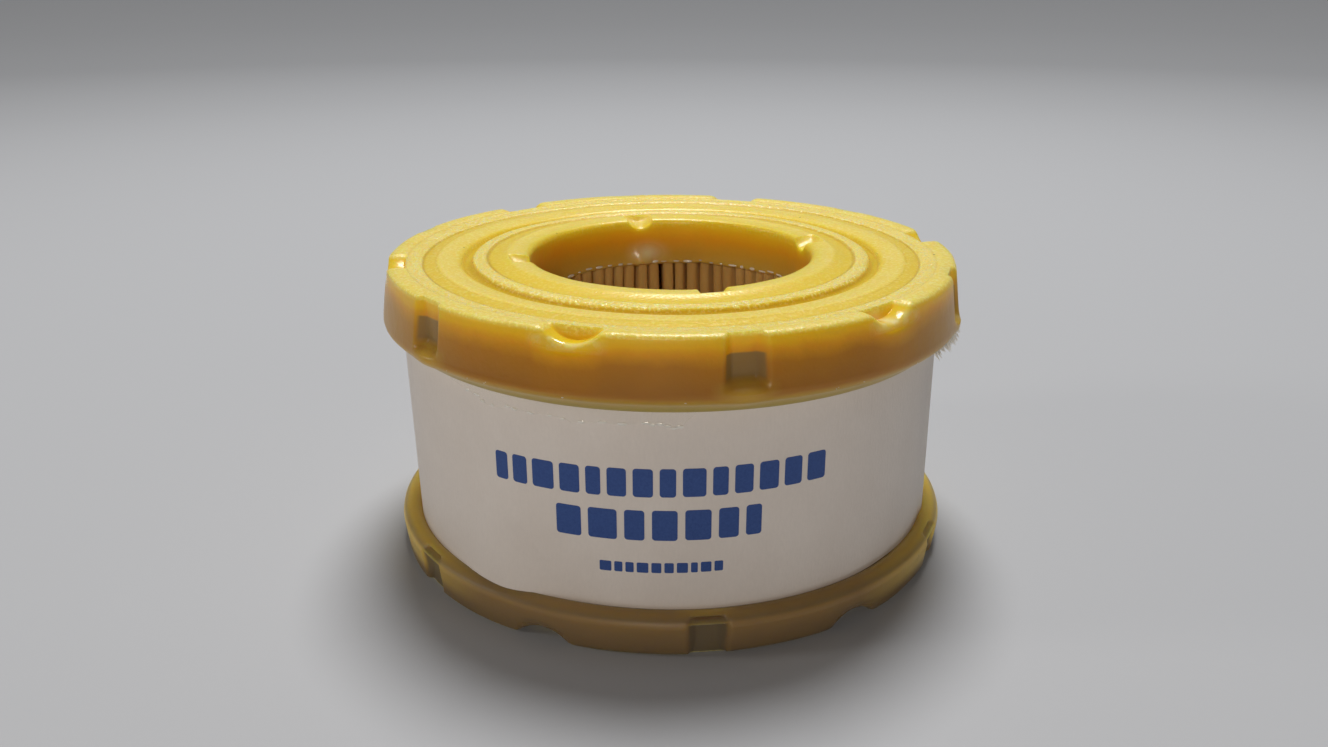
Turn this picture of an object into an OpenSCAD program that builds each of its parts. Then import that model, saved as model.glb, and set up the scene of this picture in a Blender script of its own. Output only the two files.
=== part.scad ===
// Dry air filter insert: a ring of pleated paper, potted at both ends in soft cast caps and wrapped in a paper band.
// The origin is the centre of the lower sealing face, +Z is up and -Y is the front of the band.

/* [Overall] */
// Height over both sealing faces
height = 52; // [50:0.5:60]
// Radius of each sealing face at its outer edge
face_r = 49.6; // [49.6:0.1:54]
// Radius of the bore through both caps
bore_r = 25; // [22:0.1:25.5]

/* [End caps] */
// Height of the upper cap's outer wall, set by how full its mould was poured
upper_fill = 10; // [9:0.1:11]
// Height of the lower cap's outer wall
lower_fill = 7.2; // [7.1:0.1:8]
// Outward draft of the outer wall, radius gained for each mm of height
wall_draft = 0.135; // [0.05:0.005:0.14]
// Height of the upper cap's wall inside the bore
upper_bore_fill = 9; // [8:0.1:9.5]
// Height of the lower cap's wall inside the bore
lower_bore_fill = 6.8; // [6.5:0.1:7]
// Depth of cap material between a sealing face and the end of the paper
cover = 2.8; // [2.4:0.1:3]

/* [Mould marks] */
// Number of half-round rim notches, and of rim slots halfway between them
rim_marks = 6; // [4:1:8]
// Radius of a rim notch
notch_r = 5.8; // [5:0.1:7]
// Depth of a rim notch below the sealing face
notch_depth = 2.1; // [1:0.1:2.2]
// Width of a rim slot
slot_w = 5.2; // [4:0.1:6]
// Height of a rim slot from the sealing face, less where the cap is too thin for it
slot_h = 7; // [5:0.1:7]
// Number of half-round notches round the bore
bore_marks = 4; // [2:1:6]
// Radius of a bore notch
bore_notch_r = 2.9; // [2:0.1:3]
// Depth of a bore notch below the sealing face
bore_notch_depth = 2; // [1:0.1:2.2]
// How far the lower cap's marks are turned round from the front, in degrees
cap_turn = 18; // [-30:1:30]

/* [Pleated paper] */
// Number of pleats
pleats = 67; // [50:1:70]
// Thickness of the filter paper
paper_t = 0.35; // [0.25:0.05:0.4]
// Width of each fold at the bore
inner_fold_w = 1.2; // [0.8:0.1:1.2]
// Width of each fold under the band
outer_fold_w = 1.4; // [1:0.1:1.6]
// Thickness of the glue film in the paper's seam
seam_t = 0.2; // [0.1:0.05:0.3]

/* [Paper band] */
// Outer radius of the band
band_r = 47.2; // [47.1:0.1:47.3]
// Thickness of the band's paper
band_t = 0.3; // [0.2:0.05:0.4]
// Width of the band's glued overlap, in degrees
lap = 9; // [6:1:14]
// Place of the overlap, in degrees round from the front
lap_place = 74; // [0:1:359]
// Thickness of the glue film under the overlap
lap_glue_t = 0.1; // [0.05:0.05:0.15]

/* [Hidden] */
$fn = 96;

// clearance for cutting tools
past = 1;
// skin of cap material between the bore and the inner folds
bore_skin = 0.7;
// the band stands on the lower cap's ledge and is cast into the upper cap as deep as the paper
band_foot = lower_fill - 0.6;
band_head = height - cover;
// width of the ledge that shows outside the band
ledge_w = 0.4;
// middle of the band's thickness
band_mid = band_r - band_t / 2;
// outer face of the band where it laps over itself
lap_r = band_r + lap_glue_t;
// how far ahead of the overlap the band steps outwards, and the gap it leaves there, in degrees
lap_step = 3;
lap_gap = 0.1;
// depth of cap material between the pleats, measured from the sealing face
upper_pour = upper_fill - 0.5;
lower_pour = band_foot;
lower_slot_h = min(slot_h, band_foot - 0.4);
// meniscus that the upper cap leaves on the band
meniscus_drop = 2.7;
// radial depth of the marks
notch_reach = 3.1;
slot_reach = 1.3;
bore_notch_reach = 3.6;
// angle of the first rim notch, rim slot and bore notch on the upper cap, in degrees round from the front
first_notch = -18;
first_slot = first_notch + 180 / rim_marks;
first_bore_notch = 15;

fold_in_r = bore_r + bore_skin + paper_t / 2;
fold_out_r = band_r - band_t - 0.1 - paper_t / 2;
pitch = 360 / pleats;
inner_half = inner_fold_w / fold_in_r * 90 / PI;
outer_half = outer_fold_w / fold_out_r * 90 / PI;

// Radius at a share of the way from the bore to the outer edge of a sealing face
function across(share) = bore_r + share * (face_r - bore_r);

// The sealing face from the bore outwards: each row is a radius and a depth below the face's highest circle
FACE = [
    [bore_r, 1.4], [across(0.025), 0.7], [across(0.09), 0.15], [across(0.135), 0],  // rounded bore lip
    [across(0.19), 0.25], [across(0.295), 0.7],                                     // slope into the first valley
    [across(0.31), 0.45], [across(0.39), 0.5], [across(0.41), 0.75],                // narrow rough rib
    [across(0.44), 1.6], [across(0.46), 1.6],                                       // deep groove
    [across(0.495), 0.7], [across(0.535), 0.4], [across(0.64), 0.4],                // wide smooth rib
    [across(0.755), 0.75], [across(0.86), 0.4],                                     // shallow outer valley
    [across(0.91), 0], [across(0.98), 0], [face_r, 0.4]                             // flat outer rim
];

// Radius of the drafted outer wall at a height above its sealing face
function wall_r(z) = face_r + wall_draft * z;

function polar(r, a) = [r * cos(a), r * sin(a)];
function unit(v) = v / norm(v);
function normal(p, q) = let (d = unit(q - p)) [-d[1], d[0]];
function last(list) = len(list) - 1;
function reversed(list) = [for (i = [last(list):-1:0]) list[i]];

// A path moved sideways by h, with mitred corners
function offset_path(path, h) = [
    for (i = [0:last(path)])
        let (
            before = normal(path[max(i - 1, 0)], path[max(i, 1)]),
            after = normal(path[min(i, last(path) - 1)], path[min(i + 1, last(path))]),
            corner = unit(before + after)
        )
        path[i] + corner * h / (corner * before)
];

// The seam is in the panel from inner fold 0 to outer fold 0, where the strip's two ends lie side by side
seam_root = polar(fold_in_r, inner_half);
seam_tip = polar(fold_out_r, pitch / 2 - outer_half);
seam_along = unit(seam_tip - seam_root);
seam_side = normal(seam_root, seam_tip);
seam_step = seam_side * (paper_t + seam_t);
// each free end stops short of the fold beyond it
free_end = seam_along * 1.2;

// Centreline of the folded strip, from one free end round to the other
strip = concat(
    [seam_root + seam_step + free_end, seam_tip + seam_step, polar(fold_out_r, pitch / 2 + outer_half)],
    [
        for (k = [1:pleats - 1], p = [
            [fold_in_r, k * pitch - inner_half], [fold_in_r, k * pitch + inner_half],
            [fold_out_r, (k + 0.5) * pitch - outer_half], [fold_out_r, (k + 0.5) * pitch + outer_half]
        ]) polar(p[0], p[1])
    ],
    [polar(fold_in_r, -inner_half), seam_root, seam_tip - free_end]
);

// Turns children to an angle round from the front
module placed(angle) rotate([0, 0, angle - 90]) children();

module half_round(r, depth, from_r, reach, angle)
    placed(angle) translate([from_r, 0, depth - r]) rotate([0, 90, 0]) cylinder(r = r, h = reach);

// The marks that the mould leaves in a cap, cut up from its sealing face at z = 0.
// Both caps come from one mould, so the marks run the other way round (sense -1) on the cap that faces down.
module mould_marks(sense, turn, slot_height) {
    for (k = [0:rim_marks - 1]) {
        step = k * 360 / rim_marks;
        half_round(notch_r, notch_depth, face_r - notch_reach, notch_reach + past, sense * (first_notch + step) + turn);
        placed(sense * (first_slot + step) + turn)
            translate([face_r - slot_reach, -slot_w / 2, -past]) cube([slot_reach + 3, slot_w, slot_height + past]);
    }
    for (k = [0:bore_marks - 1])
        half_round(
            bore_notch_r, bore_notch_depth, bore_r - past, bore_notch_reach + past,
            sense * (first_bore_notch + k * 360 / bore_marks) + turn
        );
}

// A cast cap with its sealing face at z = 0 and its body above, before the paper and band are cut out of it
module cap_casting(fill, bore_fill, pour, foot)
    rotate_extrude() polygon(concat(FACE, [
        [wall_r(fill - 0.4), fill - 0.4], [wall_r(fill) - 0.4, fill], foot, [band_mid, foot[1]],
        [band_mid, pour], [fold_in_r, pour], [bore_r, bore_fill]
    ]));

module upper_end_cap()
    color("goldenrod")
    difference() {
        translate([0, 0, height]) mirror([0, 0, 1]) difference() {
            cap_casting(upper_fill, upper_bore_fill, upper_pour, [band_r - 0.1, upper_fill + meniscus_drop]);
            mould_marks(1, 0, slot_h);
        }
        paper_shape();
        seam_shape(paper_t / 4);
        band_high() flat_band_envelope();
    }

module lower_end_cap()
    color("goldenrod")
    difference() {
        cap_casting(lower_fill, lower_bore_fill, lower_pour, [band_r + ledge_w, band_foot]);
        mould_marks(-1, cap_turn, lower_slot_h);
        paper_shape();
        seam_shape(paper_t / 4);
    }

module paper_shape()
    translate([0, 0, cover]) linear_extrude(height - 2 * cover)
        polygon(concat(offset_path(strip, paper_t / 2), reversed(offset_path(strip, -paper_t / 2))));

module pleated_paper() color("peru") paper_shape();

// The glue film between the strip's two ends. A cutting tool for it spreads into the paper on both sides.
module seam_shape(spread = 0) {
    near = seam_root + 1.3 * free_end + seam_side * (paper_t / 2 - spread);
    far = seam_tip - 1.3 * free_end + seam_side * (paper_t / 2 - spread);
    across_film = seam_side * (seam_t + 2 * spread);
    translate([0, 0, cover]) linear_extrude(height - 2 * cover)
        polygon([near, far, far + across_film, near + across_film]);
}

module paper_seam_glue() color("wheat") seam_shape();

// Children drawn flat, raised to the band's height
module band_high() translate([0, 0, band_foot]) linear_extrude(band_head - band_foot) children();

module flat_ring(inner, outer) difference() {
    circle(outer);
    circle(inner);
}

// A stretch of a flat ring, up to 90 degrees long
module flat_arc(inner, outer, from, turn) intersection() {
    flat_ring(inner, outer);
    polygon([[0, 0], polar(2 * outer, from - 90), polar(2 * outer, from + turn - 90)]);
}

// Outline of the whole space that the band and its overlap fill
module flat_band_envelope() {
    flat_ring(band_r - band_t, band_r);
    flat_arc(band_mid, lap_r + band_t, lap_place - lap_step, lap + lap_step);
}

// The band runs all the way round, and its outer end laps over its start
module paper_band()
    color("white") band_high() difference() {
        flat_band_envelope();
        flat_arc(band_r, lap_r, lap_place - lap_gap, lap + lap_gap + 1);
        flat_arc(band_r - band_t - past, band_r + lap_glue_t / 2, lap_place - lap_gap, lap_gap);
    }

module band_glue_strip() color("ivory") band_high() flat_arc(band_r, lap_r, lap_place, lap);

upper_end_cap();
lower_end_cap();
pleated_paper();
paper_seam_glue();
paper_band();
band_glue_strip();
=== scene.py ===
"""Looks for a pleated paper air filter insert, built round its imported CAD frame.

Lengths are in millimetres until a mesh is made. Angles are in degrees round from the front (-Y) towards +X.
A cap is described from its own sealing face: depth is the distance from that face into the cap."""

import math

import bmesh
import bpy
import numpy as np
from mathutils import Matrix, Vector


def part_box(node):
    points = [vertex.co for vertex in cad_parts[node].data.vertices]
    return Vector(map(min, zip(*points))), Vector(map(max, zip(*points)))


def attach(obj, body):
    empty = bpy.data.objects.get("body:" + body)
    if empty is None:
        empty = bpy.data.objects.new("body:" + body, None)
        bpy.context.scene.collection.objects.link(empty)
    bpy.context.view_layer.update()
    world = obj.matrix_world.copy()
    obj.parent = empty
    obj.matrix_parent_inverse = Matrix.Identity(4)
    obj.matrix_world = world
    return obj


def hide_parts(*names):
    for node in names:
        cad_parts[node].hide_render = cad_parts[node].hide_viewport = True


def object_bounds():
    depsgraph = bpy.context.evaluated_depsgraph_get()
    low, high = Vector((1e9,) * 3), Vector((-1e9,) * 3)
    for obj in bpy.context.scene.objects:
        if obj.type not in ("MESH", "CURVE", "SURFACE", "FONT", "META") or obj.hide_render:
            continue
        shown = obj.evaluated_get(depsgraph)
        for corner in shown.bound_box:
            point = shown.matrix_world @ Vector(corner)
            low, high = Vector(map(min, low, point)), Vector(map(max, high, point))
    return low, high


MM = 0.001

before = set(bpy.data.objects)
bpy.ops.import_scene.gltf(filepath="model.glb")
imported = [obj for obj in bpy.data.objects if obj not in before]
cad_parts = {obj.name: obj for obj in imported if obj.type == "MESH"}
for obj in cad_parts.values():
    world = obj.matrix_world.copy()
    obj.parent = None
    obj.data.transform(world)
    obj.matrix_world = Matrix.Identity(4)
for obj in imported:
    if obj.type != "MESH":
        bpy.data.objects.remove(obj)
cad_low, cad_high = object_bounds()

# Driving sizes, read off the CAD boxes where a box gives them
HEIGHT = cad_high.z / MM
PAPER_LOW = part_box("pleated_paper")[0].z / MM
PAPER_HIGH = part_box("pleated_paper")[1].z / MM
COVER = HEIGHT - PAPER_HIGH
LOWER_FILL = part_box("lower_end_cap")[1].z / MM
UPPER_FILL = 10.0
UPPER_BORE_FILL = 9.0
LOWER_BORE_FILL = 6.6  # 0.2 less than in the CAD
BORE_R = 25.0
FACE_R = 49.6
WALL_DRAFT = 0.135
BAND_R = 47.2
BAND_T = 0.3
LAP_PLACE = 74.0
LAP_WIDTH = 9.0
LAP_GLUE_T = 0.1
PLEATS = 67
PAPER_T = 0.35
SEAM_T = 0.2

# Angles of the marks that the mould left in the upper cap and in the lower one, which is turned against it
RIM_NOTCHES = [-16.8, 42.0, 103.0, 163.5, 220.0, 281.0]
RIM_SLOTS = [12.3, 72.0, 132.0, 192.0, 252.0, 311.5]
BORE_NOTCHES = [15.0, 107.0, 194.0, 285.0]
CAP_TURN = 18.0
LOWER_RIM_NOTCHES = [-24.0, 36.7, 96.5, 156.5, 216.5, 276.5]
LOWER_RIM_SLOTS = [6.7, 66.5, 126.5, 186.5, 246.5, 306.0]
LOWER_BORE_NOTCHES = [CAP_TURN - angle for angle in BORE_NOTCHES]


# ---------------------------------------------------------------- shape helpers

def smoothstep(low, high, value):
    t = np.clip((value - low) / (high - low), 0.0, 1.0)
    return t * t * (3 - 2 * t)


def turned(angle):
    """An angle difference brought between -180 and 180."""
    return (np.asarray(angle) + 180.0) % 360.0 - 180.0


def hump(angle, centre, half_width):
    """A soft bump of height 1 round an angle."""
    return np.exp(-((turned(angle - centre) / half_width) ** 2))


def ripple(angle, waves):
    """A sum of sines round the circle. Each wave is (count, amount, phase in degrees)."""
    return sum(amount * np.sin(np.radians(count * angle + phase)) for count, amount, phase in waves)


def spots(radius, angle, height):
    """Points in the part's frame from a radius, an angle and a height."""
    a = np.radians(angle)
    return np.stack(np.broadcast_arrays(radius * np.sin(a), -radius * np.cos(a), height), axis=-1)


def rounded_path(keys, step):
    """A Catmull-Rom curve through key points, cut into steps of about the given length."""
    keys = [np.array(k, float) for k in keys]
    points = []
    for i in range(len(keys) - 1):
        before, start = keys[max(i - 1, 0)], keys[i]
        end, after = keys[i + 1], keys[min(i + 2, len(keys) - 1)]
        count = max(1, round(np.linalg.norm(end - start) / step))
        for t in np.arange(count) / count:
            points.append(0.5 * (
                2 * start + (end - before) * t + (2 * before - 5 * start + 4 * end - after) * t**2
                + (3 * start - before - 3 * end + after) * t**3
            ))
    points.append(keys[-1])
    return np.array(points)


def new_piece(name, vertices, faces):
    """A mesh object from points in millimetres."""
    mesh = bpy.data.meshes.new(name)
    mesh.from_pydata((np.asarray(vertices).reshape(-1, 3) * MM).tolist(), [], faces)
    mesh.update()
    piece = bpy.data.objects.new(name, mesh)
    bpy.context.scene.collection.objects.link(piece)
    return piece


def quad_faces(rows, columns, wrap_rows, wrap_columns, first=0):
    """Quads over a grid of points numbered row by row."""
    return [
        (
            first + i * columns + j,
            first + ((i + 1) % rows) * columns + j,
            first + ((i + 1) % rows) * columns + (j + 1) % columns,
            first + i * columns + (j + 1) % columns,
        )
        for i in range(rows if wrap_rows else rows - 1)
        for j in range(columns if wrap_columns else columns - 1)
    ]


def row_face(row, columns, first=0):
    """One face over a whole row of a grid of points."""
    return tuple(range(first + row * columns, first + (row + 1) * columns))


def closed_sections(stations, outline, first=0):
    """Faces round a row of closed outlines, with a flat cap at each end."""
    caps = [row_face(0, outline, first), row_face(stations - 1, outline, first)]
    return quad_faces(stations, outline, False, True, first) + caps


def strip_grid(name, sections):
    """A closed piece from a row of closed outlines."""
    return new_piece(name, sections, closed_sections(*sections.shape[:2]))


def sheet_outline(angle, height, outer, inner):
    """The closed outline of an upright sheet at one angle, between its outer and its inner radius."""
    return np.vstack([spots(outer, angle, height), spots(inner, angle, height)[::-1]])


def outward(piece):
    """Turns the faces of a closed mesh outwards."""
    bm = bmesh.new()
    bm.from_mesh(piece.data)
    bmesh.ops.recalc_face_normals(bm, faces=bm.faces)
    if bm.calc_volume(signed=True) < 0:
        bmesh.ops.reverse_faces(bm, faces=bm.faces)
    bm.to_mesh(piece.data)
    bm.free()


def dress(piece, material, sharp_angle=40.0, stands_for=()):
    """Smooth shading with sharp creases, the material, and the piece's place in the frame."""
    outward(piece)
    piece.data.shade_smooth()
    piece.data.set_sharp_from_angle(angle=math.radians(sharp_angle))
    piece.data.materials.append(material)
    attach(piece, "root")
    if stands_for:
        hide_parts(*stands_for)


# ---------------------------------------------------------------- materials

def rgb(red, green, blue):
    return (red, green, blue, 1.0)


class Shader:
    """A small helper that adds nodes to a new material in one line each."""

    def __init__(self, name):
        self.material = bpy.data.materials.new(name)
        self.material.use_nodes = True
        self.nodes = self.material.node_tree.nodes
        self.links = self.material.node_tree.links
        self.surface = self.nodes["Principled BSDF"]
        self.place = self.nodes.new("ShaderNodeTexCoord").outputs["Object"]

    def node(self, kind, inputs=None, **settings):
        made = self.nodes.new(kind)
        for key, value in settings.items():
            setattr(made, key, value)
        for key, value in (inputs or {}).items():
            self.put(made.inputs[key], value)
        return made

    def put(self, socket, value):
        if isinstance(value, bpy.types.NodeSocket):
            self.links.new(value, socket)
        else:
            socket.default_value = value

    def set(self, **values):
        """Sets the Principled node's sockets, named in lower case."""
        for key, value in values.items():
            self.put(self.surface.inputs[key.replace("_", " ").title().replace("Ior", "IOR")], value)

    def noise(self, scale, detail=3.0, roughness=0.5, vector=None):
        return self.node("ShaderNodeTexNoise", {
            "Vector": vector or self.place, "Scale": scale, "Detail": detail, "Roughness": roughness,
        }).outputs["Fac"]

    def math(self, operation, a, b=0.0, clamp=False):
        return self.node("ShaderNodeMath", {0: a, 1: b}, operation=operation, use_clamp=clamp).outputs[0]

    def product(self, first, *others):
        for other in others:
            first = self.math("MULTIPLY", first, other)
        return first

    def spread(self, value, low, high, to_low=0.0, to_high=1.0):
        """Maps low to high onto to_low to to_high, and clamps beyond them."""
        return self.node("ShaderNodeMapRange", {
            "Value": value, "From Min": low, "From Max": high, "To Min": to_low, "To Max": to_high,
        }).outputs["Result"]

    def fade(self, length, low, high):
        """From 0 at low millimetres to 1 at high millimetres."""
        return self.spread(length, low * MM, high * MM)

    def mixed(self, share, a, b):
        made = self.node("ShaderNodeMix", data_type="RGBA")
        self.put(made.inputs["Factor"], share)
        self.put(made.inputs["A"], a)
        self.put(made.inputs["B"], b)
        return made.outputs["Result"]

    def bump(self, height, strength, distance, under=None):
        made = self.node("ShaderNodeBump", {"Height": height, "Strength": strength, "Distance": distance})
        if under is not None:
            self.put(made.inputs["Normal"], under)
        return made.outputs["Normal"]

    def vector_math(self, operation, a, b=(0.0, 0.0, 0.0)):
        return self.node("ShaderNodeVectorMath", {0: a, 1: b}, operation=operation).outputs

    def part_of(self, vector, axis):
        return self.node("ShaderNodeSeparateXYZ", {0: vector}).outputs[axis]

    def radius(self):
        """Distance from the axis."""
        flat = self.vector_math("MULTIPLY", self.place, (1.0, 1.0, 0.0))["Vector"]
        return self.vector_math("LENGTH", flat)["Value"]

    def ramp(self, value, stops):
        """A colour ramp. Each stop is a position and a colour."""
        made = self.node("ShaderNodeValToRGB", {"Fac": value})
        ramp = made.color_ramp
        while len(ramp.elements) > 1:
            ramp.elements.remove(ramp.elements[-1])
        ramp.elements[0].position, ramp.elements[0].color = stops[0]
        for position, colour in stops[1:]:
            ramp.elements.new(position).color = colour
        return made.outputs["Color"]

    def sixfold(self, first_angle, half_width):
        """1 at six places round the axis and 0 past half_width degrees from each of them."""
        back = self.math("MULTIPLY", self.part_of(self.place, "Y"), -1.0)
        around = self.math("ARCTAN2", self.part_of(self.place, "X"), back)
        turn = self.math("SUBTRACT", around, math.radians(first_angle))
        wave = self.math("COSINE", self.math("MULTIPLY", turn, 6.0))
        return self.spread(wave, math.cos(math.radians(6 * half_width)), 1.0)


# Radius and how much pale haze and painted sheen lies there on a sealing face: partly the face's own haze,
# partly a painted reflection on its flat ribs
BLOOM_AND_SHEEN = [
    (24.9, 0.0), (25.4, 0.20), (26.4, 0.60), (28.6, 0.80), (29.4, 0.35), (32.4, 0.20), (32.7, 0.85),
    (34.7, 0.95), (35.1, 0.15), (37.0, 0.15), (37.9, 0.7), (40.7, 0.80), (41.3, 0.40), (43.4, 0.25),
    (43.8, 0.85), (46.0, 0.90), (49.4, 0.80), (49.8, 0.55), (50.1, 0.0),
]
# Radius and how rough the mould's own surface was there
GRAIN = [
    (25.5, 0.2), (32.4, 0.25), (32.7, 1.0), (34.9, 1.0), (35.2, 0.2), (37.8, 0.35), (40.8, 0.35),
    (43.4, 0.25), (43.8, 1.0), (46.0, 1.0), (46.6, 0.5), (49.5, 0.45),
]
# Radius and how much painted shade darkens the corners between the ribs
CREASE_SHADE = [
    (31.9, 0.0), (32.35, 0.7), (32.60, 0.7), (32.80, 0.0), (34.9, 0.0), (35.15, 0.8), (36.6, 0.55),
    (37.2, 0.0), (41.1, 0.0), (41.3, 0.35), (41.6, 0.1), (43.2, 0.15), (43.6, 0.8), (43.8, 0.0),
    (46.1, 0.0), (46.35, 0.4), (46.6, 0.0),
]
# Radii that the three lists above lie between
ZONES_FROM, ZONES_TO = 24.0, 52.0

# How the compound's colour deepens with depth: outside on each cap, and on the wall of the bore. It is partly
# the compound's own depth of colour, and partly painted light near the lit faces and painted shade further
# in;
# the lower cap's dark colours are painted shade.
UPPER_DEPTH_GLOW_AND_SHADE = [
    (0.3, rgb(0.84, 0.59, 0.030)), (1.8, rgb(0.88, 0.57, 0.003)), (3.0, rgb(0.80, 0.40, 0.003)),
    (4.8, rgb(0.57, 0.24, 0.006)), (8.5, rgb(0.43, 0.185, 0.014)), (12.5, rgb(0.46, 0.24, 0.028)),
]
LOWER_DEPTH_SHADE = [
    (0.3, rgb(0.22, 0.145, 0.068)), (3.0, rgb(0.28, 0.180, 0.080)), (5.8, rgb(0.34, 0.215, 0.078)),
    (7.3, rgb(0.31, 0.195, 0.065)),
]
BORE_DEPTH_GLOW_AND_SHADE = [
    (1.0, rgb(1.0, 0.74, 0.040)), (2.6, rgb(1.0, 0.67, 0.022)), (4.4, rgb(0.94, 0.53, 0.022)),
    (7.0, rgb(0.82, 0.48, 0.055)), (9.5, rgb(0.82, 0.54, 0.110)),
]
DEEPEST = 13.0

LEMON = rgb(0.80, 0.60, 0.022)
PALE_BLOOM_AND_SHEEN = rgb(0.86, 0.70, 0.195)
CREASE_SHADE_BROWN = rgb(0.52, 0.32, 0.008)
FROST_GLINT = rgb(0.98, 0.89, 0.44)
SHADE_BROWN = rgb(0.40, 0.24, 0.01)
LIP_HIGHLIGHT_CREAM = rgb(1.0, 0.93, 0.60)
HIGHLIGHT_CREAM = rgb(1.0, 0.92, 0.64)
THIN_AMBER = rgb(0.58, 0.385, 0.060)
DIRT_BLACK = rgb(0.06, 0.035, 0.012)

# How the two caps' compound differs. A slot shows the band between the depths of window_span, in a colour
# that is partly painted shade of the recess. Outside, the compound thins from the depth thin_from on.
# notch_at and slot_at are the angles of one rim notch and slot. The rim setting is 1 where the rim's edge
# gets the pale sheen and the notch edges a painted highlight, or 0. The side share says how far the sides
# turn to the side colour, a painted light that makes them lighter. The lower cap's depth colours are painted
# shade.
UPPER_LOOK = {
    "name": "upper_casting",
    "depths": UPPER_DEPTH_GLOW_AND_SHADE,
    "window_span": (COVER + 0.4, 6.6),
    "window_shade_colour": rgb(0.33, 0.205, 0.060),
    "thin_from": UPPER_FILL - 0.9,
    "notch_at": -17.3,
    "slot_at": 12.2,
    "rim_sheen": 1.0,
    "side_light_share": 0.50,
    "side_light_colour": rgb(0.66, 0.43, 0.060),
}
LOWER_LOOK = {
    "name": "lower_casting",
    "depths": LOWER_DEPTH_SHADE,
    "window_span": (0.35, 6.0),
    "window_shade_colour": rgb(0.19, 0.145, 0.080),
    "thin_from": LOWER_FILL + 1.0,
    "notch_at": 36.4,
    "slot_at": 6.6,
    "rim_sheen": 0.0,
    "side_light_share": 0.85,
    "side_light_colour": rgb(0.88, 0.62, 0.110),
}

# Painted highlights: glossy spots painted pale under the bore notch at the back and in the rim notch at the
# front right: the middle of each in metres with X squeezed, its reach in millimetres and how pale it is
HIGHLIGHT_PATCHES = [((-0.0027, 0.0240, 0.0450), 3.6, 0.75), ((0.0193, -0.0360, 0.0503), 2.4, 0.60)]
HIGHLIGHT_SQUEEZE = (0.60, 1.0, 1.0)


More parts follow.
